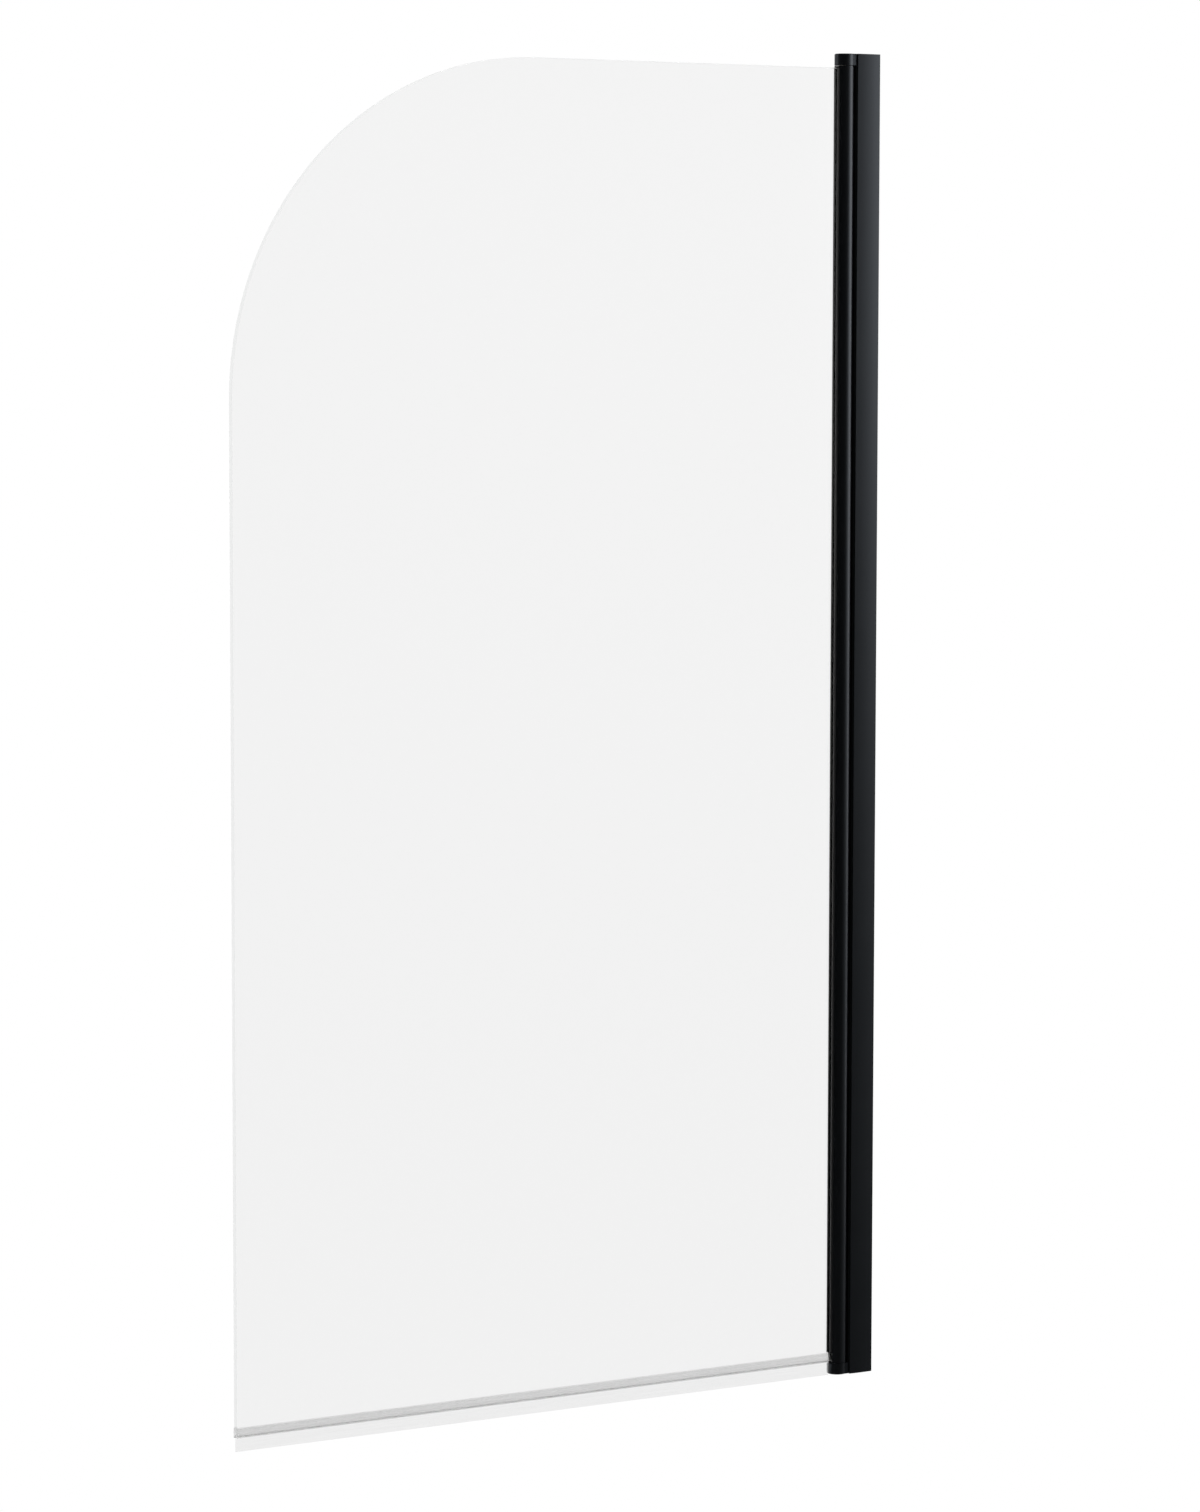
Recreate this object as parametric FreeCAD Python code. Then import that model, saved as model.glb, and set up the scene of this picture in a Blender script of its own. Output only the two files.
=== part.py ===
"""Pivoting bath screen: a sheet of toughened glass with one large rounded corner, carried by a round
column that turns between two pivot blocks.  The blocks and the post between them slide in a channel
that is screwed to the wall.

Millimetres.  The wall is the plane X = 0 and the screen reaches out along -X.  Y = 0 is the middle of
the glass and -Y its outer face.  Z = 0 is the lower end of the wall profile, on the rim of the bath.
"""
import FreeCAD
import Part

import math
import os

# ---- overall ---------------------------------------------------------------------------------------
screen_height = 1400.0          # wall profile, end to end
screen_width = 755.0            # wall face to the free edge of the glass

# ---- glass -----------------------------------------------------------------------------------------
glass_thickness = 6.0
glass_corner_radius = 342.0     # the free top corner
glass_top_drop = 14.8           # from the top of the wall profile down to the top edge of the glass
glass_bottom_rise = 14.5        # from the lower end of the wall profile up to the glass
glass_arris = 0.5               # ground edge

# ---- wall profile ----------------------------------------------------------------------------------
profile_depth = 28.4            # wall face to the mouth of the channel
profile_half_width = 12.0       # outside, from the glass plane to the crown of each side
profile_crown = 0.6             # how far each side bows out between its edges
profile_wall = 1.6              # where it is thinnest
profile_corner_radius = 1.0     # outer corners against the wall
profile_edge_radius = 0.4       # corners of the channel's mouth
bed_groove_width = 3.0          # two shallow grooves for sealant in the face against the wall
bed_groove_depth = 0.4
bed_groove_offset = 6.8
wall_hole_radius = 2.75
wall_hole_count = 4
wall_hole_inset = 100.0         # end of the profile to its first hole

# ---- column that holds the glass -------------------------------------------------------------------
column_radius = 10.5
column_wall = 1.8
pocket_wall = 1.4               # sides of the glazing pocket
pocket_web = 1.0                # its floor
key_groove_depth = 0.5          # grooves in the pocket's sides that hold the gasket's ribs
key_groove_width = 1.1
key_groove_from_floor = 1.6
slot_edge_radius = 0.3

# ---- glazing gasket --------------------------------------------------------------------------------
gasket_side = 2.0               # rubber between the glass and each side of the pocket
gasket_floor = 0.8
gasket_lip = 0.85               # stands proud of the column, along the glass
gasket_clip_clearance = 0.5     # above the clip of the bottom seal
key_clearance = 0.1

# ---- pivot -----------------------------------------------------------------------------------------
block_height = 12.0
block_edge_chamfer = 0.7        # round the outer face
block_neck_radius = 1.5         # hollow corner between the round end and the neck
block_back_clearance = 0.4      # to the web of the channel
pin_radius = 2.5
pin_length = 24.0
pin_seat_depth = 9.0            # length of the pin that is pressed in the block
pin_press_clearance = 0.01
pin_running_clearance = 0.05
bush_wall = 1.05                # nylon between the pin and the pocket's floor
bush_length = 18.0
bush_clearance = 0.05
washer_thickness = 0.5          # also the running gap between column and block
washer_width = 2.4
tenon_half_width = 1.9          # lug of each block that enters the post
tenon_length = 6.0
tenon_clearance = 0.3

# ---- hinge post ------------------------------------------------------------------------------------
post_reveal = 1.0               # how far the post stands out of the channel
post_slide_clearance = 0.1      # each side
post_wall = 1.6
post_edge_radius = 0.4          # front corners
post_lip = 2.6                  # inward lips along the open back
seat_clearance = 1.0            # hollow front face of the post to the column
corner_clearance = 2.3          # front corners of the post to the column
wall_screw_head_room = 3.3      # back of the post to the web of the channel
port_radius = 1.7               # screw ports that run the length of the post
port_wall = 1.4
port_mouth = 1.6
port_setback = 10.1             # front edge of the post to the ports

# ---- seal between post and column ------------------------------------------------------------------
seal_neck = 2.0
seal_foot_width = 4.2
seal_foot_depth = 1.4
seal_groove_wall = 1.1          # metal in front of the seal's foot, beside it and behind it
seal_clearance = 0.1            # foot in its groove
seal_tip_clearance = 0.3        # tip to the turning column

# ---- seal along the bottom of the glass ------------------------------------------------------------
clip_height = 9.5
clip_wall = 1.0
clip_floor = 1.3
clip_taper_height = 4.2         # the legs thin out towards their upper edges
clip_taper_radius = 16.0        # where the taper starts
clip_lip = 0.25
fin_thickness = 1.0
fin_below_profile = 1.0         # how far the fin reaches past the lower end of the wall profile
clip_in_pocket = 3.0            # length of the clip that is hidden in the column
fin_block_clearance = 0.7

# ---- screws ----------------------------------------------------------------------------------------
block_screw_radius = 1.65
block_screw_length = 19.0       # under the head
block_screw_head_radius = 3.2
block_screw_head_height = 3.0
block_screw_recess = 0.4        # face of the block to the sunk head
block_screw_hole_clearance = 0.35
block_screw_socket = 2.5        # across flats
block_screw_socket_depth = 1.7
fixing_count = 3
fixing_inset = 150.0            # end of the profile to its first fixing screw
fixing_travel = 10.0            # width adjustment that the slots give
fixing_from_post_front = 17.1
fixing_screw_radius = 2.1
fixing_screw_length = 9.5
fixing_head_radius = 3.6
fixing_head_height = 2.4
fixing_socket = 2.5             # across flats
fixing_socket_depth = 1.3
fixing_slot_clearance = 0.2
fixing_thread_clearance = 0.02
cup_washer_radius = 4.7
cup_washer_thickness = 1.0
cup_rim_height = 0.8
cup_rim_width = 0.6
cap_wall = 0.8
cap_clearance = 0.15
cap_chamfer = 1.0

# ---- heights ---------------------------------------------------------------------------------------
glass_top = screen_height - glass_top_drop
clip_bottom = glass_bottom_rise - clip_floor
column_bottom = block_height + washer_thickness
column_top = screen_height - column_bottom
clip_top = clip_bottom + clip_height

# ---- plan: distances towards the wall are measured from the axis of the pivot ----------------------
channel_half_width = profile_half_width - profile_crown - profile_wall
post_half_width = channel_half_width - post_slide_clearance
post_front = math.sqrt((column_radius + corner_clearance) ** 2 - post_half_width ** 2)
mouth = post_front + post_reveal
web_inside = mouth + profile_depth - profile_wall
post_back = web_inside - wall_screw_head_room
axis_x = -(mouth + profile_depth)
seat_radius = column_radius + seat_clearance
pocket_half_width = glass_thickness / 2 + gasket_side
bush_flat = -(pin_radius + pin_running_clearance + bush_wall)
pocket_floor = bush_flat - bush_clearance - pocket_web
glass_edge = pocket_floor - gasket_floor
key_groove_end = pocket_floor - key_groove_from_floor
port_x = post_front + port_setback
port_y = post_half_width - post_wall - port_radius - port_wall / 2
fixing_x = post_front + fixing_from_post_front

UP = FreeCAD.Vector(0, 0, 1)
INNER_SIDE = FreeCAD.Vector(0, 1, 0)
same_place = 1e-6               # points and faces nearer than this are one


# ---- drawing helpers -------------------------------------------------------------------------------
def on_plan(a, b):
    """Point of a horizontal section."""
    return FreeCAD.Vector(a, b, 0)


def on_front(a, b):
    """Point of a section that stands along the glass."""
    return FreeCAD.Vector(a, 0, b)


def on_side(a, b):
    """Point of a section across the glass."""
    return FreeCAD.Vector(0, a, b)


def outline(corners, plane=on_plan):
    """Face within straight runs.  A corner is (a, b), or (a, b, radius) where it is rounded."""
    spots = [plane(corner[0], corner[1]) for corner in corners]
    stops = []
    for number, corner in enumerate(corners):
        here = spots[number]
        back = (spots[number - 1] - here).normalize()
        on = (spots[(number + 1) % len(spots)] - here).normalize()
        if len(corner) < 3:
            stops.append((here, None, here))
            continue
        half = back.getAngle(on) / 2
        middle = (back + on).normalize()
        reach = corner[2] / math.tan(half)
        crown = here + middle * (corner[2] / math.sin(half) - corner[2])
        stops.append((here + back * reach, crown, here + on * reach))
    edges = []
    for number, (start, crown, end) in enumerate(stops):
        leaving = stops[number - 1][2]
        if not leaving.isEqual(start, same_place):
            edges.append(Part.makeLine(leaving, start))
        if crown:
            edges.append(Part.Arc(start, crown, end).toShape())
    return Part.Face(Part.Wire(edges))


def oblong(a_low, a_high, b_low, b_high, plane=on_plan):
    """Rectangular face."""
    return outline([(a_low, b_low), (a_high, b_low), (a_high, b_high), (a_low, b_high)], plane)


def strip(a_low, a_high, half_width):
    """Rectangle of a plan section, even about the glass plane."""
    return oblong(a_low, a_high, -half_width, half_width)


def disc(radius, a=0.0, b=0.0):
    """Round face of a plan section."""
    return Part.Face(Part.Wire(Part.makeCircle(radius, on_plan(a, b))))


def joined(*sections):
    """One face from several that overlap."""
    faces = [face for section in sections for face in section.Faces]
    return faces[0].multiFuse(faces[1:]).removeSplitter()


def standing(section, low, high):
    """Plan section run up from one height to another, moved from the pivot's axis to its place."""
    if len(section.Faces) != 1:
        raise ValueError("a section has come apart")
    solid = section.Faces[0].extrude(UP * (high - low))
    solid.translate(FreeCAD.Vector(axis_x, 0, low))
    return solid


def rounded(solid, radius, wanted):
    """Solid with its long upright edges rounded where their middle is wanted."""
    upright = [edge for edge in solid.Edges if edge.BoundBox.ZLength > screen_height / 2]
    return solid.makeFillet(radius, [edge for edge in upright if wanted(edge.CenterOfMass)])


def turned(profile, base, direction):
    """Solid of revolution.  The profile's corners are (radius, distance along) from the base."""
    solid = outline(profile, on_front).revolve(FreeCAD.Vector(), UP, 360)
    solid.Placement = FreeCAD.Placement(base, FreeCAD.Rotation(UP, direction))
    return solid


def hexagon(across_flats, depth, base, direction):
    """Six-sided prism that cuts a driving socket."""
    corner = across_flats / math.sqrt(3)
    turns = [math.radians(60 * step) for step in range(6)]
    prism = outline([(corner * math.cos(turn), corner * math.sin(turn)) for turn in turns])
    prism = prism.extrude(UP * depth)
    prism.Placement = FreeCAD.Placement(base, FreeCAD.Rotation(UP, direction))
    return prism


def spaced(count, inset):
    """Heights of evenly spaced fastenings, the first and last at the same inset from the ends."""
    pitch = (screen_height - 2 * inset) / (count - 1)
    return [inset + pitch * number for number in range(count)]


def fixing_point(distance_from_wall_profile, height):
    """Place on the inner side of the wall profile, over a fixing screw."""
    return FreeCAD.Vector(axis_x + fixing_x, profile_half_width + distance_from_wall_profile, height)


# ---- pieces on the wall ----------------------------------------------------------------------------
def wall_profile():
    """Channel against the wall, with holes for the wall screws and slots for the fixing screws."""
    middle = mouth + profile_depth / 2
    bow = (profile_depth ** 2 / 4 + profile_crown ** 2) / (2 * profile_crown)
    section = strip(mouth, mouth + profile_depth, profile_half_width)
    for side in (-1, 1):
        section = section.common(disc(bow, middle, side * (bow - profile_half_width)))
    section = section.cut(strip(0, web_inside, channel_half_width))
    channel = standing(section, 0, screen_height)
    half_wall = profile_wall / 2
    channel = rounded(channel, profile_corner_radius, lambda at: at.x > -half_wall)
    channel = rounded(channel, profile_edge_radius, lambda at: (
        at.x < -profile_depth + half_wall and abs(at.y) > channel_half_width + half_wall))
    for side in (-1, 1):
        groove = Part.makeBox(2 * bed_groove_depth, bed_groove_width, screen_height)
        middle = side * bed_groove_offset
        groove.translate(FreeCAD.Vector(-bed_groove_depth, middle - bed_groove_width / 2, 0))
        channel = channel.cut(groove)
    for height in spaced(wall_hole_count, wall_hole_inset):
        start = FreeCAD.Vector(-2 * profile_wall, 0, height)
        drill = Part.makeCylinder(wall_hole_radius, 3 * profile_wall, start, FreeCAD.Vector(1, 0, 0))
        channel = channel.cut(drill)
    half_slot = fixing_screw_radius + fixing_slot_clearance
    wall_end = axis_x + fixing_x + half_slot
    free_end = axis_x + fixing_x - fixing_travel - half_slot
    for height in spaced(fixing_count, fixing_inset):
        slot = outline([
            (wall_end, height - half_slot, half_slot), (wall_end, height + half_slot, half_slot),
            (free_end, height + half_slot, half_slot), (free_end, height - half_slot, half_slot),
        ], on_front)
        cutter = slot.extrude(INNER_SIDE * (3 * profile_wall + profile_crown))
        cutter.translate(INNER_SIDE * (channel_half_width - profile_wall))
        channel = channel.cut(cutter)
    return channel


# ---- pieces that slide in the wall profile ---------------------------------------------------------
def seal_groove(grow):
    """Plan section of the T-shaped groove for the post's seal, or of the seal's foot at less grow."""
    foot_front = seat_radius + seal_groove_wall
    neck = strip(column_radius, foot_front + seal_foot_depth / 2, seal_neck / 2 + grow)
    foot = strip(foot_front - grow, foot_front + seal_foot_depth + grow, seal_foot_width / 2 + grow)
    return joined(neck, foot)


def hinge_post():
    """Extrusion that carries both blocks: hollow front, seal groove, two screw ports, open back."""
    edge = post_edge_radius
    inside = post_half_width - post_wall
    section = outline([
        (post_front, -post_half_width, edge), (post_back, -post_half_width),
        (post_back, post_half_width), (post_front, post_half_width, edge),
    ])
    hollow = strip(post_front, post_back - post_wall, inside).cut(disc(seat_radius + post_wall))
    back = strip(post_back - 2 * post_wall, post_back + post_wall, inside - post_lip)
    section = section.cut(disc(seat_radius)).cut(hollow).cut(back)
    boss_back = seat_radius + 2 * seal_groove_wall + seal_foot_depth + seal_clearance
    boss_half_width = seal_foot_width / 2 + seal_clearance + seal_groove_wall
    boss = strip(seat_radius, boss_back, boss_half_width).cut(disc(seat_radius))
    ports = [disc(port_radius + port_wall, port_x, side * port_y) for side in (-1, 1)]
    section = joined(section, boss, *ports)
    for side in (-1, 1):
        middle = port_y - port_radius - port_wall / 2
        mouth_cut = oblong(port_x - port_mouth / 2, port_x + port_mouth / 2,
                           side * (middle - port_wall), side * port_y)
        section = section.cut(disc(port_radius, port_x, side * port_y)).cut(mouth_cut)
    section = section.cut(seal_groove(seal_clearance))
    post = standing(section, block_height, screen_height - block_height)
    bore = fixing_screw_radius + fixing_thread_clearance
    bore_length = profile_half_width - post_half_width + 2 * post_wall
    for height in spaced(fixing_count, fixing_inset):
        start = fixing_point(0, height)
        post = post.cut(Part.makeCylinder(bore, bore_length, start, -INNER_SIDE))
    return post


def post_seal():
    """Rubber strip in the post whose tip wipes close to the column."""
    tip = disc(column_radius + seal_tip_clearance)
    section = seal_groove(0.0).cut(tip)
    return standing(section, block_height, screen_height - block_height)


def screw_places():
    """Plan positions of the screws that hold a block to the post."""
    return [FreeCAD.Vector(axis_x + port_x, side * port_y, 0) for side in (-1, 1)]


def pivot_block():
    """Lower block, from its outer face up: round end over the column, neck into the channel."""
    back = web_inside - block_back_clearance
    block = standing(joined(disc(column_radius), strip(0, back, post_half_width)), 0, block_height)
    upright = [edge for edge in block.Edges if edge.BoundBox.ZLength > block_height / 2]
    necks = [edge for edge in upright if edge.BoundBox.XMax < axis_x + post_front]
    block = block.makeFillet(block_neck_radius, necks)
    rim = [edge for edge in block.Edges if edge.BoundBox.ZMax < same_place]
    block = block.makeChamfer(block_edge_chamfer, rim)
    tenon_front = port_x - port_radius
    tenon_back = post_back - post_wall - tenon_clearance
    tenon_top = block_height + tenon_length
    tenon = standing(strip(tenon_front, tenon_back, tenon_half_width), block_height, tenon_top)
    block = block.fuse(tenon)
    seat = FreeCAD.Vector(axis_x, 0, block_height - pin_seat_depth)
    block = block.cut(Part.makeCylinder(pin_radius + pin_press_clearance, pin_seat_depth, seat))
    for place in screw_places():
        block = block.cut(screw_body(place, 0.0, block_screw_hole_clearance))
    return block.removeSplitter()


def screw_body(place, low, grow):
    """Cap-head screw standing on its head, or the stepped hole for it where grow is its clearance."""
    head = block_screw_head_radius + grow
    shank = block_screw_radius + grow
    seat = block_screw_recess + block_screw_head_height
    tip = seat + block_screw_length
    return turned([(0, low), (head, low), (head, seat), (shank, seat), (shank, tip), (0, tip)], place, UP)


def block_screws():
    """The two screws of the lower block."""
    screws = []
    for place in screw_places():
        socket_base = place + UP * block_screw_recess
        socket = hexagon(block_screw_socket, block_screw_socket_depth, socket_base, UP)
        screws.append(screw_body(place, block_screw_recess, 0.0).cut(socket))
    return Part.makeCompound(screws)


def pivot_pin():
    """Steel pin of the lower block."""
    bottom = block_height - pin_seat_depth
    return standing(disc(pin_radius), bottom, bottom + pin_length)


def thrust_washer():
    """Thin washer between the lower block and the column."""
    bore = pin_radius + pin_running_clearance
    section = disc(bore + washer_width).cut(disc(bore))
    return standing(section, block_height, block_height + washer_thickness)


# ---- pieces that turn ------------------------------------------------------------------------------
def pocket_body(grow):
    """Plan section of the glazing pocket with its walls, reaching past the column's far side."""
    floor = bush_flat - bush_clearance + grow
    return strip(-2 * column_radius, floor, pocket_half_width + pocket_wall + grow)


def key_grooves(depth, slack):
    """Plan section across the pocket with the grooves for the gasket's ribs, or the ribs themselves."""
    low = key_groove_end - key_groove_width + slack
    return strip(low, key_groove_end - slack, pocket_half_width + depth)


def pivot_column():
    """Round tube with a pocket for the glass along its free side."""
    bore = disc(column_radius - column_wall).cut(pocket_body(0.0))
    edge = slot_edge_radius
    reach = math.sqrt(column_radius ** 2 - pocket_half_width ** 2)
    pocket = outline([
        (-reach - edge, -pocket_half_width - edge), (-reach + edge, -pocket_half_width),
        (pocket_floor, -pocket_half_width), (pocket_floor, pocket_half_width),
        (-reach + edge, pocket_half_width), (-reach - edge, pocket_half_width + edge),
        (-2 * column_radius, pocket_half_width + edge), (-2 * column_radius, -pocket_half_width - edge),
    ])
    section = disc(column_radius).cut(bore).cut(pocket).cut(key_grooves(key_groove_depth, 0.0))
    return standing(section, column_bottom, column_top)


def glazing_gasket():
    """Rubber channel round the hidden edge of the glass, ribbed into the pocket."""
    body = strip(-column_radius - gasket_lip, pocket_floor, pocket_half_width)
    ribs = key_grooves(key_groove_depth - key_clearance, key_clearance)
    section = joined(body, ribs).cut(strip(-2 * column_radius, glass_edge, glass_thickness / 2))
    return standing(section, clip_top + gasket_clip_clearance, glass_top)


def glass_panel():
    """Toughened pane with its large free corner and ground edges."""
    hidden = axis_x + glass_edge
    sheet = outline([
        (-screen_width, glass_bottom_rise), (-screen_width, glass_top, glass_corner_radius),
        (hidden, glass_top), (hidden, glass_bottom_rise),
    ], on_front)
    pane = sheet.extrude(INNER_SIDE * glass_thickness)
    pane.translate(INNER_SIDE * (-glass_thickness / 2))
    rim = [edge for edge in pane.Edges if edge.BoundBox.YLength < glass_thickness / 2]
    return pane.makeChamfer(glass_arris, rim)


def bottom_seal():
    """Clear strip clipped on the bottom of the glass, with the fin that closes the gap to the bath."""
    outside = glass_thickness / 2 + clip_wall
    inside = glass_thickness / 2
    half_fin = fin_thickness / 2
    side = [
        (half_fin, -fin_below_profile), (half_fin, clip_bottom, clip_wall / 2),
        (outside, clip_bottom, clip_wall / 2), (outside, clip_top - clip_taper_height, clip_taper_radius),
        (inside + clip_lip, clip_top), (inside, clip_top), (inside, glass_bottom_rise),
    ]
    other = [(-corner[0], *corner[1:]) for corner in reversed(side)]
    clip_end = axis_x - column_radius + clip_in_pocket
    fin_end = axis_x - column_radius - fin_block_clearance
    profile = outline(side + other, on_side).extrude(FreeCAD.Vector(screen_width + clip_end, 0, 0))
    profile.translate(FreeCAD.Vector(-screen_width, 0, 0))
    past_fin = outline([
        (fin_end, -2 * fin_below_profile), (clip_end, -2 * fin_below_profile),
        (clip_end, clip_bottom), (fin_end, clip_bottom),
    ], on_front).extrude(INNER_SIDE * fin_thickness * 2)
    past_fin.translate(INNER_SIDE * -fin_thickness)
    return profile.cut(past_fin)


def bush():
    """Nylon plug in the lower end of the column, with the bore that turns on the pin."""
    section = disc(column_radius - column_wall - bush_clearance).cut(pocket_body(bush_clearance))
    section = section.cut(disc(pin_radius + pin_running_clearance))
    return standing(section, column_bottom, column_bottom + bush_length)


# ---- screws that set the width ---------------------------------------------------------------------
def fixing_screw(height):
    """Cap-head screw through a slot of the channel into the side of the post."""
    seat = cup_washer_thickness
    head_top = seat + fixing_head_height
    tip = seat - fixing_screw_length
    screw = turned([
        (0, tip), (fixing_screw_radius, tip), (fixing_screw_radius, seat), (fixing_head_radius, seat),
        (fixing_head_radius, head_top), (0, head_top),
    ], fixing_point(0, height), INNER_SIDE)
    socket_base = fixing_point(head_top - fixing_socket_depth, height)
    return screw.cut(hexagon(fixing_socket, fixing_head_height, socket_base, INNER_SIDE))


def cup_washer(height):
    """Washer under a fixing screw, with the raised rim that its cap snaps over."""
    bore = fixing_screw_radius + fixing_slot_clearance
    rim = cup_washer_radius - cup_rim_width
    return turned([
        (bore, 0), (cup_washer_radius, 0), (cup_washer_radius, cup_washer_thickness + cup_rim_height),
        (rim, cup_washer_thickness + cup_rim_height), (rim, cup_washer_thickness),
        (bore, cup_washer_thickness),
    ], fixing_point(0, height), INNER_SIDE)


def screw_cap(height):
    """Snap-on cap over a fixing screw and its washer."""
    inside = cup_washer_radius + cap_clearance
    outside = inside + cap_wall
    ceiling = cup_washer_thickness + fixing_head_height + cap_clearance
    shoulder = ceiling + cap_wall
    return turned([
        (inside, 0), (outside, 0), (outside, shoulder - cap_chamfer), (outside - cap_chamfer, shoulder),
        (0, shoulder), (0, ceiling), (inside, ceiling),
    ], fixing_point(0, height), INNER_SIDE)


def each_fixing(piece):
    """The same piece at every fixing screw."""
    return Part.makeCompound([piece(height) for height in spaced(fixing_count, fixing_inset)])


def upside_down(shape):
    """The upper end's copy of a piece of the lower end."""
    return shape.mirror(FreeCAD.Vector(0, 0, screen_height / 2), UP)


# ---- assembly --------------------------------------------------------------------------------------
def assembly():
    """Every named piece in its place."""
    pieces = {
        "wall_profile": wall_profile(),
        "hinge_post": hinge_post(),
        "post_seal": post_seal(),
        "pivot_column": pivot_column(),
        "glazing_gasket": glazing_gasket(),
        "glass_panel": glass_panel(),
        "bottom_seal": bottom_seal(),
        "fixing_screws": each_fixing(fixing_screw),
        "fixing_cup_washers": each_fixing(cup_washer),
        "fixing_screw_caps": each_fixing(screw_cap),
    }
    for name, make in (
        ("pivot_block", pivot_block), ("block_screws", block_screws), ("pivot_pin", pivot_pin),
        ("thrust_washer", thrust_washer), ("bush", bush),
    ):
        lower = make()
        pieces["bottom_" + name] = lower
        pieces["top_" + name] = upside_down(lower)
    return pieces


os.makedirs("parts", exist_ok=True)
for node, shape in assembly().items():
    if not shape.isValid():
        raise ValueError(node + " is not a valid solid")
    shape.exportStep("parts/" + node + ".step")
    box = shape.BoundBox
    print(f"{node:20s} {len(shape.Solids)} solids {shape.Volume:12.1f} mm3"
          f"  x {box.XMin:8.2f} {box.XMax:8.2f}  y {box.YMin:7.2f} {box.YMax:7.2f}"
          f"  z {box.ZMin:8.2f} {box.ZMax:8.2f}")
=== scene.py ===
"""Looks, lights and camera for a pivoting bath screen whose solids come packed from CAD.

Most CAD pieces keep their shapes and get the finishes that the real ones have.  Three are made again
here: the glass and the clear seal with the fine edges that light shows up in anything see-through, and
the wall profile with eased ends.  Metres throughout, in the frame of the CAD: the wall is X = 0 and the
screen reaches out along -X.
"""

import math

import bmesh
import bpy
from mathutils import Matrix, Vector


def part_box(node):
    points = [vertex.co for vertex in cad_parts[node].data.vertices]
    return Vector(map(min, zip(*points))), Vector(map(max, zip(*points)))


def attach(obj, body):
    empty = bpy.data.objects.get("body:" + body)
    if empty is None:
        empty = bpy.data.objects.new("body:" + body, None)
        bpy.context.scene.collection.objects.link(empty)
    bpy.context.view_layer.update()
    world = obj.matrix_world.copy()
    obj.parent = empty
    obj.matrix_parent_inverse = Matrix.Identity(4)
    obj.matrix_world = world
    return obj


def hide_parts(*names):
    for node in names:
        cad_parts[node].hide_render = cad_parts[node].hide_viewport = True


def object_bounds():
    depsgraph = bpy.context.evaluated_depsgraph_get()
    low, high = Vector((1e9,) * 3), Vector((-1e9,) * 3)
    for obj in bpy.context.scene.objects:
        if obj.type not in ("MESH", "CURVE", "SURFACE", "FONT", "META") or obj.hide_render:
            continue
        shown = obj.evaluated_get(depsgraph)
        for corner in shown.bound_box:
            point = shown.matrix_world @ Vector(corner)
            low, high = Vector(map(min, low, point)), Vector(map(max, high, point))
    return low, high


bl_info = {
    "name": "Bath screen",
    "version": (1, 0, 0),
    "blender": (4, 5, 0),
    "location": "3D View > Sidebar > Bath screen",
    "description": "Finishes, glass, seal, lights and camera of a pivoting bath screen",
    "category": "Object",
}

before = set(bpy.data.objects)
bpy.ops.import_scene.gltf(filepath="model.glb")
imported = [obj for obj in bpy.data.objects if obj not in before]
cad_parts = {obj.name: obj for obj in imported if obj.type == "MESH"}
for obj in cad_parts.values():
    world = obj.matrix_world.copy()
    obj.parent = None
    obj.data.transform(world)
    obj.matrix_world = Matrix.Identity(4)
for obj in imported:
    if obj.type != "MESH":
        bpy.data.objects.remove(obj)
CAD_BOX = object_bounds()
MM = 0.001
TOUCH = 0.001 * MM    # two places nearer than this are the same one
ALONG = 0.9           # a face looks along an axis where that part of its normal is more than this


def linear(code):
    """Linear colour of an sRGB hex value."""
    parts = [int(code[place:place + 2], 16) / 255 for place in (1, 3, 5)]
    return tuple(part / 12.92 if part <= 0.04045 else ((part + 0.055) / 1.055) ** 2.4 for part in parts)


WHITE = (*linear("#FFFFFF"), 1.0)


def colour(name, code, description):
    """Colour property that starts at a hex value."""
    return bpy.props.FloatVectorProperty(
        name=name, description=description, default=linear(code), subtype="COLOR", min=0.0, max=1.0)


def length(name, default, description):
    """Length property in metres."""
    return bpy.props.FloatProperty(
        name=name, description=description, default=default, subtype="DISTANCE", unit="LENGTH",
        precision=5)


def share(name, default, description):
    """Property between nought and one."""
    return bpy.props.FloatProperty(
        name=name, description=description, default=default, subtype="FACTOR", min=0.0, max=1.0)


def angle(name, degrees, description):
    """Angle property."""
    return bpy.props.FloatProperty(
        name=name, description=description, default=math.radians(degrees), subtype="ANGLE",
        unit="ROTATION")


class ScreenFinishes(bpy.types.PropertyGroup):
    """Colours and surfaces of the real materials."""
    powder_black: colour("Powder black", "#060708", "Satin black powder coat on the profiles and blocks")
    powder_sheen: colour("Powder sheen", "#E8F2FF", "Faintly cool gloss of the blue-black pigment")
    powder_roughness: share("Powder roughness", 0.36, "Satin, between silk and matt")
    orange_peel: length("Orange peel", 0.0025, "Distance between the swells of the coat")
    rubber_black: colour("Rubber black", "#111112", "Extruded rubber of the gasket and the post's seal")
    glass_tint: colour("Glass tint", "#F6F6F6", "Light that one passage through the pane leaves")
    edge_tint: colour("Edge tint", "#FCFEFD", "Ground edge of the pane")
    fin_tint: colour("Fin tint", "#F2F2F2", "Light that one passage through the soft fin leaves")
    # The clip's tint is darker than the fin's: clear vinyl tint plus painted shade for the light lost in
    # the legs.
    clip_tint_and_shade: colour("Clip tint", "#ECECEC", "Light that one passage through a leg of the clip leaves")
    steel_grey: colour("Steel grey", "#B4B3B0", "Turned stainless steel")
    washer_white: colour("Washer white", "#DEDCD4", "Low-friction washers")
    nylon_black: colour("Nylon black", "#202021", "Moulded bushes")
    plastic_black: colour("Plastic black", "#131314", "Moulded caps and cup washers")


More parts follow.
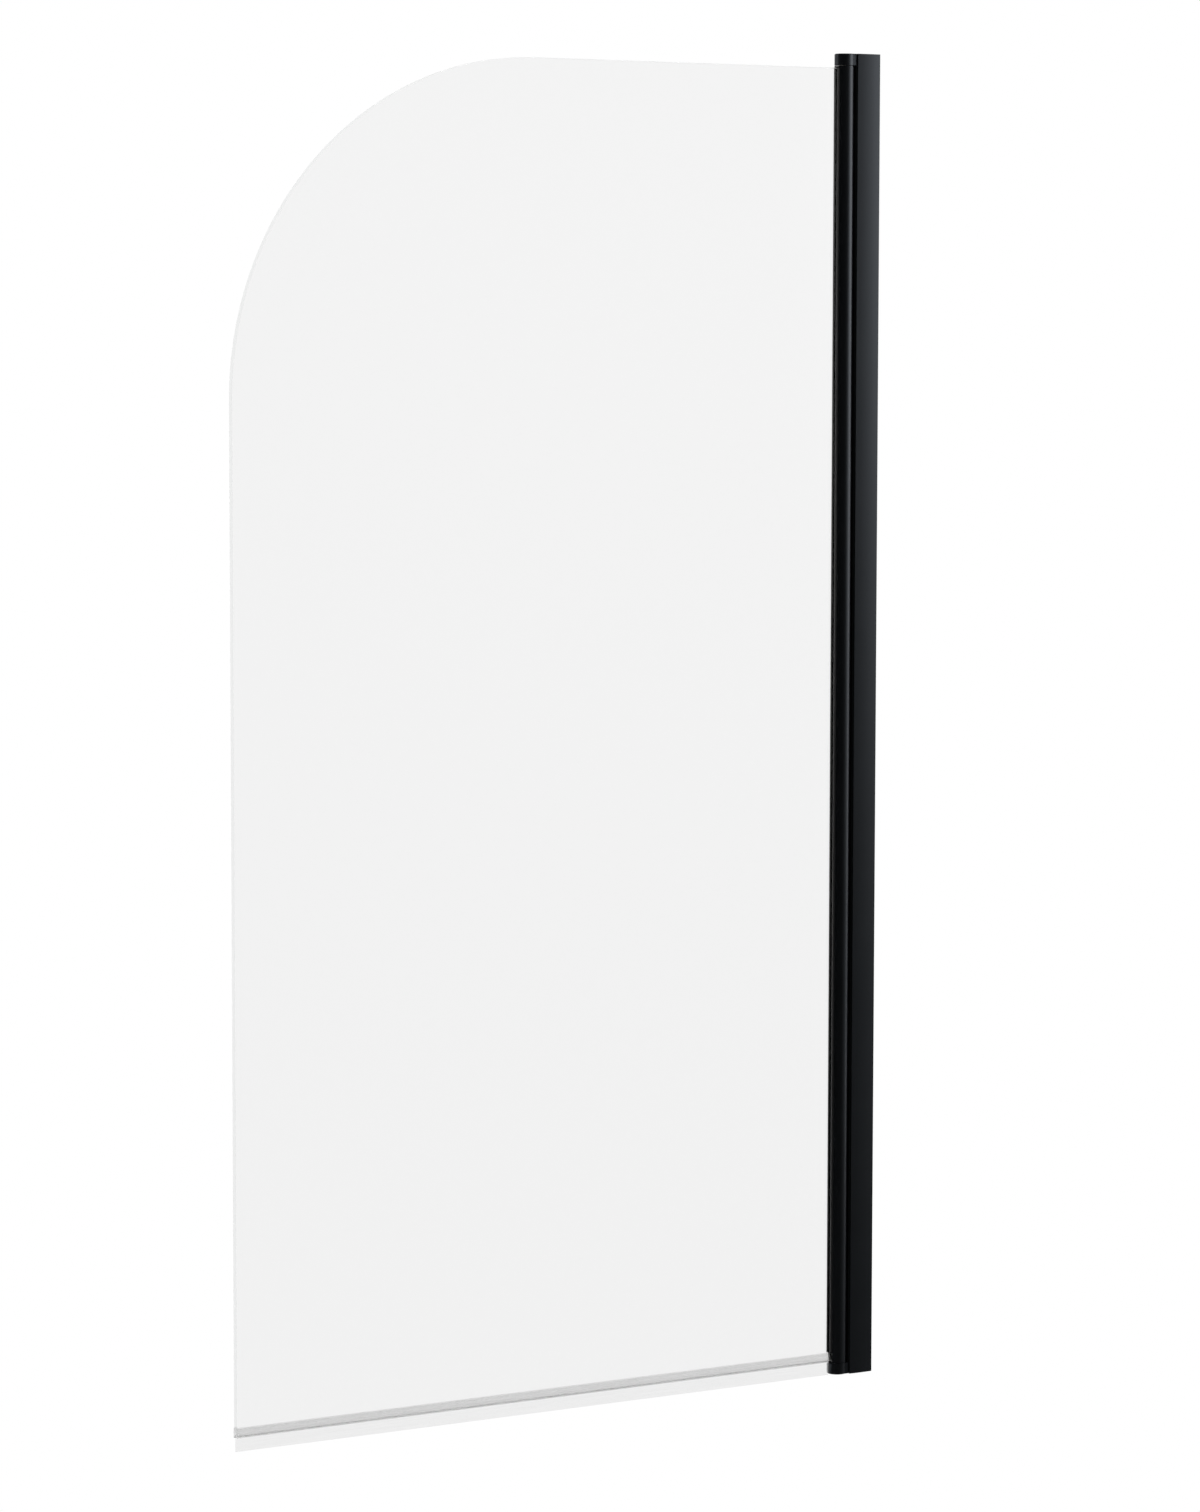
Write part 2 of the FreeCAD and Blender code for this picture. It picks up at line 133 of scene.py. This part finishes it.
class ScreenSizes(bpy.types.PropertyGroup):
    """Sizes of the pieces that are made here."""
    corner_radius: length("Corner radius", 0.342, "Free top corner of the glass")
    end_easing: length("End easing", 0.0006, "Rounded rim of the wall profile's sawn ends")
    arris: length("Arris", 0.0006, "Ground edge of the glass")
    film: length("Film gap", 0.00003, "Air between the glass and what touches it")
    clip_wall: length("Clip wall", 0.001, "Legs of the clear seal")
    clip_floor: length("Clip floor", 0.0013, "Web of the clear seal under the glass")
    clip_height: length("Clip height", 0.0095, "Clear seal, without its fin")
    clip_taper: length("Clip taper", 0.0042, "Part of the legs that thins out")
    clip_lip: length("Clip lip", 0.00025, "Thickness left at the top of the legs")
    fin: length("Fin", 0.001, "Thickness of the hanging fin")
    fin_short: length("Fin short of the clip", 0.0037, "The clip goes on into the column, the fin stops")


class ScreenStage(bpy.types.PropertyGroup):
    """Camera, lights and floor."""
    camera_place: bpy.props.FloatVectorProperty(
        name="Camera", description="Place of the camera", default=(-2.8612, -4.2384, 1.1124),
        subtype="TRANSLATION", unit="LENGTH")
    camera_yaw: angle("Yaw", 30.8067, "Turn from straight at the screen towards the wall")
    camera_pitch: angle("Pitch", 5.0534, "Tilt below the horizon")
    camera_roll: angle("Roll", 0.1021, "Turn about the line of sight")
    focal_length: bpy.props.FloatProperty(
        name="Focal length", description="In millimetres, for a long side of 36 mm", default=114.8,
        unit="CAMERA")
    floor_height: length("Floor", -0.56, "The floor lies a bath's height below the screen")
    floor_radius: length("Floor radius", 1.3, "Reach of the floor round the screen")
    floor_white: colour("Floor white", "#CACAC8", "Pale floor")
    room_level: share("Room level", 0.5, "Plain light from all round")


# ---- materials -------------------------------------------------------------------------------------
NOISE_SWING = {"From Min": 0.3, "From Max": 0.7}    # nearly all of a noise texture lies in this range
DULL_EDGE_IOR = 1.05                                # of clear edges that scatter light as it comes in


def feed(tree, node, links):
    """Gives a node's inputs their values, or links them to the outputs that are given."""
    for name, value in links.items():
        if isinstance(value, bpy.types.NodeSocket):
            tree.links.new(value, node.inputs[name])
        else:
            node.inputs[name].default_value = value


def add_node(tree, kind, settings=None, links=None):
    """Adds a node.  Settings are its own properties, links are values or outputs for its inputs."""
    node = tree.nodes.new(kind)
    for name, value in (settings or {}).items():
        setattr(node, name, value)
    feed(tree, node, links or {})
    return node


def new_material(name, base, surface):
    """Material with one principled shader.  Surface is given the tree and returns what feeds the shader.
    The plain base colour lies under any pattern, for viewers that don't read the pattern."""
    material = bpy.data.materials.new(name)
    material.use_nodes = True
    tree = material.node_tree
    tree.nodes.clear()
    shader = add_node(tree, "ShaderNodeBsdfPrincipled", links={"Base Color": (*base, 1.0)})
    add_node(tree, "ShaderNodeOutputMaterial", links={"Surface": shader.outputs[0]})
    feed(tree, shader, surface(tree))
    return material


def grain(tree, spacing, stretch=(1.0, 1.0, 1.0), detail=2.0):
    """Noise on the object's own coordinates, one swell to each spacing."""
    place = add_node(tree, "ShaderNodeTexCoord").outputs["Object"]
    stretched = add_node(tree, "ShaderNodeMapping", links={"Vector": place, "Scale": stretch}).outputs[0]
    return add_node(tree, "ShaderNodeTexNoise", {"noise_dimensions": "3D"}, {
        "Vector": stretched, "Scale": 1.0 / spacing, "Detail": detail, "Roughness": 0.55}).outputs["Fac"]


def tone(tree, noise, base, change):
    """The base colour, a little lighter and darker with the noise."""
    dark = tuple(part * (1.0 - change) for part in base)
    light = tuple(min(1.0, part * (1.0 + change)) for part in base)
    weight = add_node(tree, "ShaderNodeMapRange", links={"Value": noise, **NOISE_SWING}).outputs[0]
    return add_node(tree, "ShaderNodeMix", {"data_type": "RGBA"}, {
        0: weight, 6: (*dark, 1.0), 7: (*light, 1.0)}).outputs[2]


def worked(tree, noise, base, change, rough, depth, swells=None):
    """What the making leaves on a surface.  Colour and roughness wander with the noise, and the height
    follows it too, or else swells of its own."""
    smoothest, roughest = rough
    roughness = add_node(tree, "ShaderNodeMapRange", links={
        "Value": noise, **NOISE_SWING, "To Min": smoothest, "To Max": roughest})
    normal = add_node(tree, "ShaderNodeBump", links={
        "Height": noise if swells is None else swells, "Distance": depth, "Strength": 1.0})
    return {
        "Base Color": tone(tree, noise, base, change),
        "Roughness": roughness.outputs[0],
        "Normal": normal.outputs[0],
    }


def powder_coat(name, finishes, swell):
    """Polyester powder baked on metal: satin black, with the faint swells called orange peel.  The swells
    are drawn at 2.5 mm rather than about 1 mm, so that a render at this size can hold them."""
    def surface(tree):
        cloud = grain(tree, 60 * MM, detail=3.0)
        peel = grain(tree, swell)
        rough = (finishes.powder_roughness - 0.015, finishes.powder_roughness + 0.015)
        return {**worked(tree, cloud, finishes.powder_black, 0.12, rough, 0.004 * MM, swells=peel),
                "IOR": 1.5, "Specular Tint": (*finishes.powder_sheen, 1.0)}
    return new_material(name, finishes.powder_black, surface)


def black_rubber(finishes):
    """Extruded rubber: soft sheen, with draw lines along the profile.  They are drawn at 0.6 mm, several
    times as coarse as real ones, so that a close view holds them."""
    def surface(tree):
        lines = grain(tree, 0.6 * MM, stretch=(1.0, 1.0, 0.02))
        return {**worked(tree, lines, finishes.rubber_black, 0.15, (0.45, 0.55), 0.01 * MM), "IOR": 1.52}
    return new_material("extruded_rubber", finishes.rubber_black, surface)


def clear_glass(finishes):
    """Float glass, toughened in a roller furnace: the rollers leave waves about 300 mm apart, a few
    hundredths of a millimetre deep, that only bend reflections."""
    def surface(tree):
        waves = grain(tree, 300 * MM, stretch=(1.0, 1.0, 0.25), detail=0.0)
        bent = add_node(tree, "ShaderNodeBump", links={
            "Height": waves, "Distance": 0.03 * MM, "Strength": 1.0}).outputs[0]
        return {"Roughness": 0.0, "IOR": 1.52, "Transmission Weight": 1.0, "Normal": bent}
    return new_material("toughened_float_glass", finishes.glass_tint, surface)


def ground_edge(finishes):
    """Edge of the pane, ground and then brought to a dull polish: light passes it in all directions, so
    it reads as a pale line and not as a dark mirror.  A low index and part of a matt white stand for
    that.  The grinder's marks are drawn at 0.8 mm, coarser than life, so that a close view holds them."""
    def surface(tree):
        scratch = grain(tree, 0.8 * MM, stretch=(1.0, 0.15, 1.0))
        return {**worked(tree, scratch, finishes.edge_tint, 0.03, (0.3, 0.4), 0.006 * MM),
                "IOR": DULL_EDGE_IOR, "Transmission Weight": 0.72}
    return new_material("ground_glass_edge", finishes.edge_tint, surface)


def clear_vinyl(name, tint):
    """Clear vinyl, extruded: faint draw lines along it, drawn at 1.5 mm, coarser than life, so that a
    close view holds them.  The stiff clip and the soft fin come out of one die.  The clip's tint is
    set greyer than the fin's, as painted shade for the light lost in its legs."""
    def surface(tree):
        lines = grain(tree, 1.5 * MM, stretch=(0.02, 1.0, 1.0))
        return {**worked(tree, lines, tint, 0.02, (0.05, 0.1), 0.004 * MM),
                "IOR": 1.53, "Transmission Weight": 1.0}
    return new_material(name, tint, surface)


def cut_vinyl(finishes):
    """Sawn end of the clear seal: dull, so light passes it in all directions, as at the ground glass.  The
    saw's marks are drawn at 0.5 mm, coarser than life."""
    def surface(tree):
        scratch = grain(tree, 0.5 * MM)
        return {**worked(tree, scratch, finishes.fin_tint, 0.03, (0.2, 0.3), 0.006 * MM),
                "IOR": DULL_EDGE_IOR, "Transmission Weight": 1.0}
    return new_material("cut_vinyl_end", finishes.fin_tint, surface)


def turned_steel(finishes):
    """Stainless steel turned on a lathe: fine rings, soft highlights.  The rings are drawn at 0.5 mm,
    coarser than life, so that a close view holds them."""
    def surface(tree):
        rings = grain(tree, 0.5 * MM, stretch=(0.3, 0.3, 1.0))
        return {**worked(tree, rings, finishes.steel_grey, 0.08, (0.24, 0.34), 0.004 * MM),
                "Metallic": 1.0}
    return new_material("turned_stainless_steel", finishes.steel_grey, surface)


def moulded(name, base, rough, spacing):
    """Moulded plastic with the fine even grain of a spark-eroded mould, which gives a dull, soft light.
    The grain is drawn at about 1 mm, coarser than life, so that a close view holds it."""
    def surface(tree):
        spark = grain(tree, spacing)
        return {**worked(tree, spark, base, 0.06, (rough - 0.05, rough + 0.05), 0.008 * MM), "IOR": 1.5}
    return new_material(name, base, surface)


def dress(names, material):
    """Gives CAD nodes a material."""
    for name in names:
        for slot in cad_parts[name].material_slots:
            slot.material = material


# ---- pieces ----------------------------------------------------------------------------------------
def block(low, high):
    """Mesh of a box between two corners."""
    mesh = bmesh.new()
    place = Matrix.Translation((low + high) / 2) @ Matrix.Diagonal((*(high - low), 1.0))
    bmesh.ops.create_cube(mesh, size=1.0, matrix=place)
    return mesh


def ease(mesh, edges, size, segments):
    """Rounds edges."""
    bmesh.ops.bevel(mesh, geom=edges, offset=size, offset_type="OFFSET", segments=segments, profile=0.5,
                    affect="EDGES", clamp_overlap=True, material=-1)


def settle(name, mesh, materials, body, smooth_angle):
    """Makes a piece from the mesh and lets it ride on a body.  Edges that turn by fewer degrees than the
    smooth angle are shaded smooth."""
    bmesh.ops.recalc_face_normals(mesh, faces=mesh.faces)
    for face in mesh.faces:
        face.smooth = True
    for edge in mesh.edges:
        if len(edge.link_faces) == 2:
            edge.smooth = edge.calc_face_angle() < math.radians(smooth_angle)
    data = bpy.data.meshes.new(name)
    mesh.to_mesh(data)
    mesh.free()
    left_over = data.attributes.get("custom_normal")    # comes with a CAD mesh and no longer fits
    if left_over:
        data.attributes.remove(left_over)
    for material in materials:
        data.materials.append(material)
    piece = bpy.data.objects.new(name, data)
    bpy.context.scene.collection.objects.link(piece)
    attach(piece, body)
    return piece


class SCREEN_OT_profiles(bpy.types.Operator):
    """Powder coats the profiles and the pivot blocks, and eases the ends of the wall profile"""
    bl_idname = "screen.profiles"
    bl_label = "Black profiles and blocks"

    def sawn_rims(self, wall):
        """Edges round both ends on the two outer sides, which face away from the middle of the profile
        and lie well out from it."""
        low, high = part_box("wall_profile")
        well_out = 5 * MM
        return [edge for edge in wall.edges
                if any(abs(face.normal.z) > ALONG for face in edge.link_faces)
                and all(min(vert.co.z - low.z, high.z - vert.co.z) < TOUCH for vert in edge.verts)
                and any(face.normal.y * edge.verts[0].co.y > well_out for face in edge.link_faces)]

    def execute(self, context):
        finishes = context.scene.screen_finishes
        coat = powder_coat("powder_coated_aluminium", finishes, finishes.orange_peel)
        dress(("hinge_post", "pivot_column"), coat)
        wall = bmesh.new()
        wall.from_mesh(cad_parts["wall_profile"].data)
        bmesh.ops.remove_doubles(wall, verts=wall.verts, dist=TOUCH)
        bmesh.ops.dissolve_limit(wall, angle_limit=0.002, verts=wall.verts, edges=wall.edges)
        ease(wall, self.sawn_rims(wall), context.scene.screen_sizes.end_easing, segments=3)
        piece = settle("wall_profile_coated", wall, (coat,), "wall_channel",
                       smooth_angle=25)
        normals = piece.modifiers.new("even_normals", "WEIGHTED_NORMAL")
        normals.keep_sharp = True
        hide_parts("wall_profile")
        # The cast blocks take the powder a little finer than the extrusions do.
        cast = powder_coat("powder_coated_zinc", finishes, 0.8 * finishes.orange_peel)
        dress(("bottom_pivot_block", "top_pivot_block"), cast)
        return {"FINISHED"}


class SCREEN_OT_rubbers(bpy.types.Operator):
    """Finishes the glazing gasket and the seal between post and column"""
    bl_idname = "screen.rubbers"
    bl_label = "Black rubbers"

    def execute(self, context):
        dress(("glazing_gasket", "post_seal"), black_rubber(context.scene.screen_finishes))
        return {"FINISHED"}


class SCREEN_OT_fastenings(bpy.types.Operator):
    """Finishes the pins, screws, washers, bushes and caps"""
    bl_idname = "screen.fastenings"
    bl_label = "Pins, screws, washers and caps"

    def execute(self, context):
        finishes = context.scene.screen_finishes
        dress(("bottom_pivot_pin", "top_pivot_pin", "bottom_block_screws", "top_block_screws",
               "fixing_screws"), turned_steel(finishes))
        dress(("bottom_thrust_washer", "top_thrust_washer"),
              moulded("acetal_washer", finishes.washer_white, 0.4, 0.8 * MM))
        dress(("bottom_bush", "top_bush"), moulded("moulded_nylon", finishes.nylon_black, 0.5, 0.9 * MM))
        dress(("fixing_cup_washers", "fixing_screw_caps"),
              moulded("moulded_black_plastic", finishes.plastic_black, 0.45, 1.0 * MM))
        return {"FINISHED"}


class SCREEN_OT_glass(bpy.types.Operator):
    """Makes the pane with its rounded corner, ground edges and flat faces"""
    bl_idname = "screen.glass"
    bl_label = "Glass pane"

    def execute(self, context):
        sizes = context.scene.screen_sizes
        finishes = context.scene.screen_finishes
        low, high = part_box("glass_panel")
        film = Vector((0.0, sizes.film, 0.0))
        pane = block(low + film, high - film)
        corner = [edge for edge in pane.edges
                  if all(vert.co.x < low.x + MM and vert.co.z > high.z - MM for vert in edge.verts)]
        ease(pane, corner, sizes.corner_radius, segments=128)
        sharp = math.radians(60)
        rim = [edge for edge in pane.edges
               if abs(edge.verts[0].co.y - edge.verts[1].co.y) < TOUCH and edge.calc_face_angle() > sharp]
        ease(pane, rim, sizes.arris, segments=2)
        for face in pane.faces:
            polished = abs(face.normal.y) > 0.999
            face.material_index = 0 if polished else 1
        piece = settle("glass_pane", pane, (clear_glass(finishes), ground_edge(finishes)),
                       "glass_door", smooth_angle=15)
        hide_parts("glass_panel")
        return {"FINISHED"}


class SCREEN_OT_seal(bpy.types.Operator):
    """Makes the clear seal that clips on the glass and hangs a fin over the rim of the bath"""
    bl_idname = "screen.seal"
    bl_label = "Clear bottom seal"

    def pull(self, mesh, faces, distance):
        """Extrudes faces towards the wall and keeps them."""
        made = bmesh.ops.extrude_face_region(mesh, geom=list(faces), use_keep_orig=True)["geom"]
        verts = [item for item in made if isinstance(item, bmesh.types.BMVert)]
        bmesh.ops.translate(mesh, vec=(distance, 0.0, 0.0), verts=verts)

    def execute(self, context):
        sizes = context.scene.screen_sizes
        low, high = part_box("bottom_seal")
        glass_low, glass_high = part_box("glass_panel")
        inside = glass_high.y + sizes.film
        outside = glass_high.y + sizes.clip_wall
        bottom = glass_low.z - sizes.clip_floor
        top = bottom + sizes.clip_height
        half_fin = sizes.fin / 2
        side = [
            (half_fin, bottom), (outside, bottom), (outside, top - sizes.clip_taper),
            (inside + sizes.clip_lip, top), (inside, top), (inside, glass_low.z - sizes.film),
        ]
        outline = side + [(-across, up) for across, up in reversed(side)]
        seal = bmesh.new()
        corners = [seal.verts.new((low.x, across, up)) for across, up in outline]
        tips = [seal.verts.new((low.x, across, low.z)) for across in (half_fin, -half_fin)]
        clip = seal.faces.new(corners)
        fin = seal.faces.new((corners[0], corners[-1], tips[1], tips[0]))
        fin_end = high.x - sizes.fin_short
        self.pull(seal, (clip, fin), fin_end - low.x)
        # Of the faces at the new end, the clip's has the most corners.  It goes on into the column alone.
        clip_end = max((face for face in seal.faces if face.calc_center_median().x > fin_end - MM),
                       key=lambda face: len(face.verts))
        self.pull(seal, (clip_end,), sizes.fin_short)
        bmesh.ops.delete(seal, geom=[clip_end], context="FACES_ONLY")
        outer_edges = [edge for edge in seal.edges
                       if abs(edge.verts[0].co.x - edge.verts[1].co.x) > MM
                       and abs(edge.verts[0].co.y) > inside + 10 * TOUCH and edge.verts[0].co.z < top - MM]
        ease(seal, outer_edges, 0.45 * sizes.clip_wall, segments=4)
        stiff, soft, cut = range(3)
        for face in seal.faces:
            below_clip = all(vert.co.z < bottom + TOUCH for vert in face.verts)
            of_fin = below_clip and abs(face.normal.z) < ALONG
            if abs(face.normal.x) > ALONG:
                face.material_index = cut
            else:
                face.material_index = soft if of_fin else stiff
        finishes = context.scene.screen_finishes
        # The stiff clip's vinyl carries painted shade in its darker tint.
        vinyls = (clear_vinyl("stiff_clear_vinyl_shaded", finishes.clip_tint_and_shade),
                  clear_vinyl("soft_clear_vinyl", finishes.fin_tint), cut_vinyl(finishes))
        piece = settle("bottom_seal_clear", seal, vinyls, "glass_door", smooth_angle=50)
        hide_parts("bottom_seal")
        return {"FINISHED"}


# ---- stage -----------------------------------------------------------------------------------------
SMOOTH = {"interpolation_type": "SMOOTHSTEP"}


def softbox(name, place, aim, size, radiance):
    """Rectangular light that only the pieces see.  It is full at its middle and fades out over the outer
    half of the way to its edges, so that the glass never mirrors a hard edge."""
    width, height = size
    light = bpy.data.lights.new(name, "AREA")
    light.shape = "RECTANGLE"
    light.size = width
    light.size_y = height
    light.energy = radiance * math.pi * width * height
    light.use_nodes = True
    tree = light.node_tree
    tree.nodes.clear()
    spot = add_node(tree, "ShaderNodeNewGeometry").outputs["Parametric"]
    ways = add_node(tree, "ShaderNodeSeparateXYZ", links={0: spot}).outputs
    fades = []
    for way in (ways["X"], ways["Y"]):
        offset = add_node(tree, "ShaderNodeMath", {"operation": "SUBTRACT"}, {0: way, 1: 0.5}).outputs[0]
        from_middle = add_node(tree, "ShaderNodeMath", {"operation": "ABSOLUTE"}, {0: offset}).outputs[0]
        fades.append(add_node(tree, "ShaderNodeMapRange", SMOOTH, {
            "Value": from_middle, "From Min": 0.5, "From Max": 0.25}).outputs[0])
    level = add_node(tree, "ShaderNodeMath", {"operation": "MULTIPLY"}, {0: fades[0], 1: fades[1]})
    glow = add_node(tree, "ShaderNodeEmission", links={"Strength": level.outputs[0]})
    add_node(tree, "ShaderNodeOutputLight", links={"Surface": glow.outputs[0]})
    lamp = bpy.data.objects.new(name, light)
    bpy.context.scene.collection.objects.link(lamp)
    lamp.location = place
    lamp.rotation_euler = (Vector(aim) - Vector(place)).to_track_quat("-Z", "Y").to_euler()
    lamp.visible_camera = False
    lamp.visible_transmission = False


def seen_plainly(tree):
    """One where the camera sees a thing straight on or through glass, and nought elsewhere."""
    path = add_node(tree, "ShaderNodeLightPath")
    return add_node(tree, "ShaderNodeMath", {"operation": "MAXIMUM"}, {
        0: path.outputs["Is Camera Ray"], 1: path.outputs["Is Transmission Ray"]}).outputs[0]


class SCREEN_OT_stage(bpy.types.Operator):
    """Makes the floor, the white surroundings, the lights and the camera"""
    bl_idname = "screen.stage"
    bl_label = "Stage"

    def execute(self, context):
        scene = context.scene
        self.make_floor(scene, scene.screen_stage)
        self.make_world(scene, scene.screen_stage)
        self.make_lights()
        self.make_camera(scene, scene.screen_stage)
        scene.view_settings.view_transform = "Standard"
        return {"FINISHED"}

    def make_floor(self, scene, stage):
        """Pale disc that shows as white to the camera but still takes the screen's shadow.  It thins out
        to its rim, so that the glass never mirrors an edge of it."""
        low, high = CAD_BOX
        middle = Vector(((low.x + high.x) / 2, 0.0, stage.floor_height))
        mesh = bmesh.new()
        bmesh.ops.create_circle(mesh, cap_ends=True, radius=stage.floor_radius, segments=128,
                                matrix=Matrix.Translation(middle))
        data = bpy.data.meshes.new("floor")
        mesh.to_mesh(data)
        mesh.free()
        material = bpy.data.materials.new("painted_floor")
        material.use_nodes = True
        tree = material.node_tree
        tree.nodes.clear()
        paint = tone(tree, grain(tree, 400 * MM, detail=3.0), stage.floor_white, 0.01)
        matt = add_node(tree, "ShaderNodeBsdfDiffuse", links={"Color": paint}).outputs[0]
        glow = add_node(tree, "ShaderNodeEmission", links={"Color": WHITE, "Strength": 1.1}).outputs[0]
        # A fifth of the matt paint stays in what the camera sees, and carries the shadow.
        lit_up = add_node(tree, "ShaderNodeMath", {"operation": "MULTIPLY"}, {
            0: seen_plainly(tree), 1: 0.8}).outputs[0]
        solid = add_node(tree, "ShaderNodeMixShader", links={0: lit_up, 1: matt, 2: glow})
        spot = add_node(tree, "ShaderNodeTexCoord").outputs["Object"]
        reach = add_node(tree, "ShaderNodeVectorMath", {"operation": "DISTANCE"}, {0: spot, 1: middle})
        thinned = add_node(tree, "ShaderNodeMapRange", SMOOTH, {
            "Value": reach.outputs["Value"], "From Min": 0.4 * stage.floor_radius,
            "From Max": stage.floor_radius}).outputs[0]
        clear = add_node(tree, "ShaderNodeBsdfTransparent").outputs[0]
        surface = add_node(tree, "ShaderNodeMixShader", links={0: thinned, 1: solid.outputs[0], 2: clear})
        add_node(tree, "ShaderNodeOutputMaterial", links={"Surface": surface.outputs[0]})
        data.materials.append(material)
        floor = bpy.data.objects.new("floor", data)
        scene.collection.objects.link(floor)

    def make_world(self, scene, stage):
        """White where the camera looks, also through the glass.  Reflections see the studio, which is
        paler behind the screen.  In front it has a glow round the box by the wall, that dims downwards."""
        world = bpy.data.worlds.new("studio")
        scene.world = world
        world.use_nodes = True
        tree = world.node_tree
        tree.nodes.clear()
        box_way = (0.766, -0.643, 0.0)    # level, and 40 degrees out from the normal of the wall
        way = add_node(tree, "ShaderNodeTexCoord").outputs["Generated"]
        parts = add_node(tree, "ShaderNodeSeparateXYZ", links={0: way}).outputs
        toward_box = add_node(tree, "ShaderNodeVectorMath", {"operation": "DOT_PRODUCT"}, {
            0: way, 1: box_way}).outputs["Value"]
        round_box = add_node(tree, "ShaderNodeMapRange", SMOOTH, {
            "Value": toward_box, "From Min": 0.8, "From Max": 1.0,
            "To Min": 0.0, "To Max": 0.6}).outputs[0]
        downwards = add_node(tree, "ShaderNodeMapRange", SMOOTH, {
            "Value": parts["Z"], "From Min": -0.22, "From Max": 0.1}).outputs[0]
        glow = add_node(tree, "ShaderNodeMath", {"operation": "MULTIPLY"}, {0: round_box, 1: downwards})
        behind = add_node(tree, "ShaderNodeMapRange", SMOOTH, {
            "Value": parts["Y"], "From Min": 0.4, "From Max": 1.0,
            "To Min": 0.02, "To Max": 0.6}).outputs[0]
        level = add_node(tree, "ShaderNodeMath", {"operation": "ADD"}, {0: glow.outputs[0], 1: behind})
        room, mirrored, white = (
            add_node(tree, "ShaderNodeBackground", links={"Color": WHITE, "Strength": strength}).outputs[0]
            for strength in (stage.room_level, level.outputs[0], 1.0))
        glossy = add_node(tree, "ShaderNodeLightPath").outputs["Is Glossy Ray"]
        lit = add_node(tree, "ShaderNodeMixShader", links={0: glossy, 1: room, 2: mirrored}).outputs[0]
        shown = add_node(tree, "ShaderNodeMixShader", links={0: seen_plainly(tree), 1: lit, 2: white})
        add_node(tree, "ShaderNodeOutputWorld", links={"Surface": shown.outputs[0]})

    def make_lights(self):
        """A broad box by the wall with a narrow one under it, a strip behind the free edge and a soft box
        overhead."""
        softbox("wall_side_box", place=(2.42, -1.16, 2.4), aim=(0.0, 0.0, 2.4), size=(3.6, 4.2),
                radiance=2.8)
        softbox("low_box", place=(2.5, -1.1, 0.36), aim=(0.0, 0.0, 0.36), size=(0.6, 1.7), radiance=3.2)
        softbox("free_side_strip", place=(-1.6, 1.1, 1.0), aim=(-0.04, 0.0, 0.8), size=(0.5, 2.8),
                radiance=2.0)
        softbox("overhead_box", place=(-0.4, -0.5, 3.4), aim=(-0.4, 0.0, 0.7), size=(3.2, 3.2),
                radiance=1.0)

    def make_camera(self, scene, stage):
        """Camera where the photograph was taken from."""
        camera = bpy.data.objects.new("camera", bpy.data.cameras.new("camera"))
        scene.collection.objects.link(camera)
        camera.data.lens = stage.focal_length
        camera.data.sensor_width = 36.0
        camera.data.clip_end = 100.0
        turn = (Matrix.Rotation(-stage.camera_yaw, 4, "Z")
                @ Matrix.Rotation(math.pi / 2 - stage.camera_pitch, 4, "X")
                @ Matrix.Rotation(stage.camera_roll, 4, "Z"))
        camera.matrix_world = Matrix.Translation(stage.camera_place) @ turn
        scene.camera = camera


class SCREEN_PT_panel(bpy.types.Panel):
    """Lists the steps that dress the bath screen"""
    bl_label = "Bath screen"
    bl_idname = "SCREEN_PT_panel"
    bl_space_type = "VIEW_3D"
    bl_region_type = "UI"
    bl_category = "Bath screen"

    def draw(self, context):
        for operator in OPERATORS:
            self.layout.operator(operator.bl_idname)
        for group_name in GROUPS:
            group = getattr(context.scene, group_name)
            box = self.layout.box()
            for name in group.__annotations__:
                box.prop(group, name)


GROUPS = {"screen_finishes": ScreenFinishes, "screen_sizes": ScreenSizes, "screen_stage": ScreenStage}
OPERATORS = (SCREEN_OT_profiles, SCREEN_OT_rubbers, SCREEN_OT_fastenings, SCREEN_OT_glass,
             SCREEN_OT_seal, SCREEN_OT_stage)
CLASSES = (*GROUPS.values(), *OPERATORS, SCREEN_PT_panel)


def register():
    for owner in CLASSES:
        bpy.utils.register_class(owner)
    for name, group in GROUPS.items():
        setattr(bpy.types.Scene, name, bpy.props.PointerProperty(type=group))


def unregister():
    for name in GROUPS:
        delattr(bpy.types.Scene, name)
    for owner in reversed(CLASSES):
        bpy.utils.unregister_class(owner)


def main():
    register()
    bpy.ops.screen.profiles()
    bpy.ops.screen.rubbers()
    bpy.ops.screen.fastenings()
    bpy.ops.screen.glass()
    bpy.ops.screen.seal()
    bpy.ops.screen.stage()


if __name__ == "__main__":
    main()
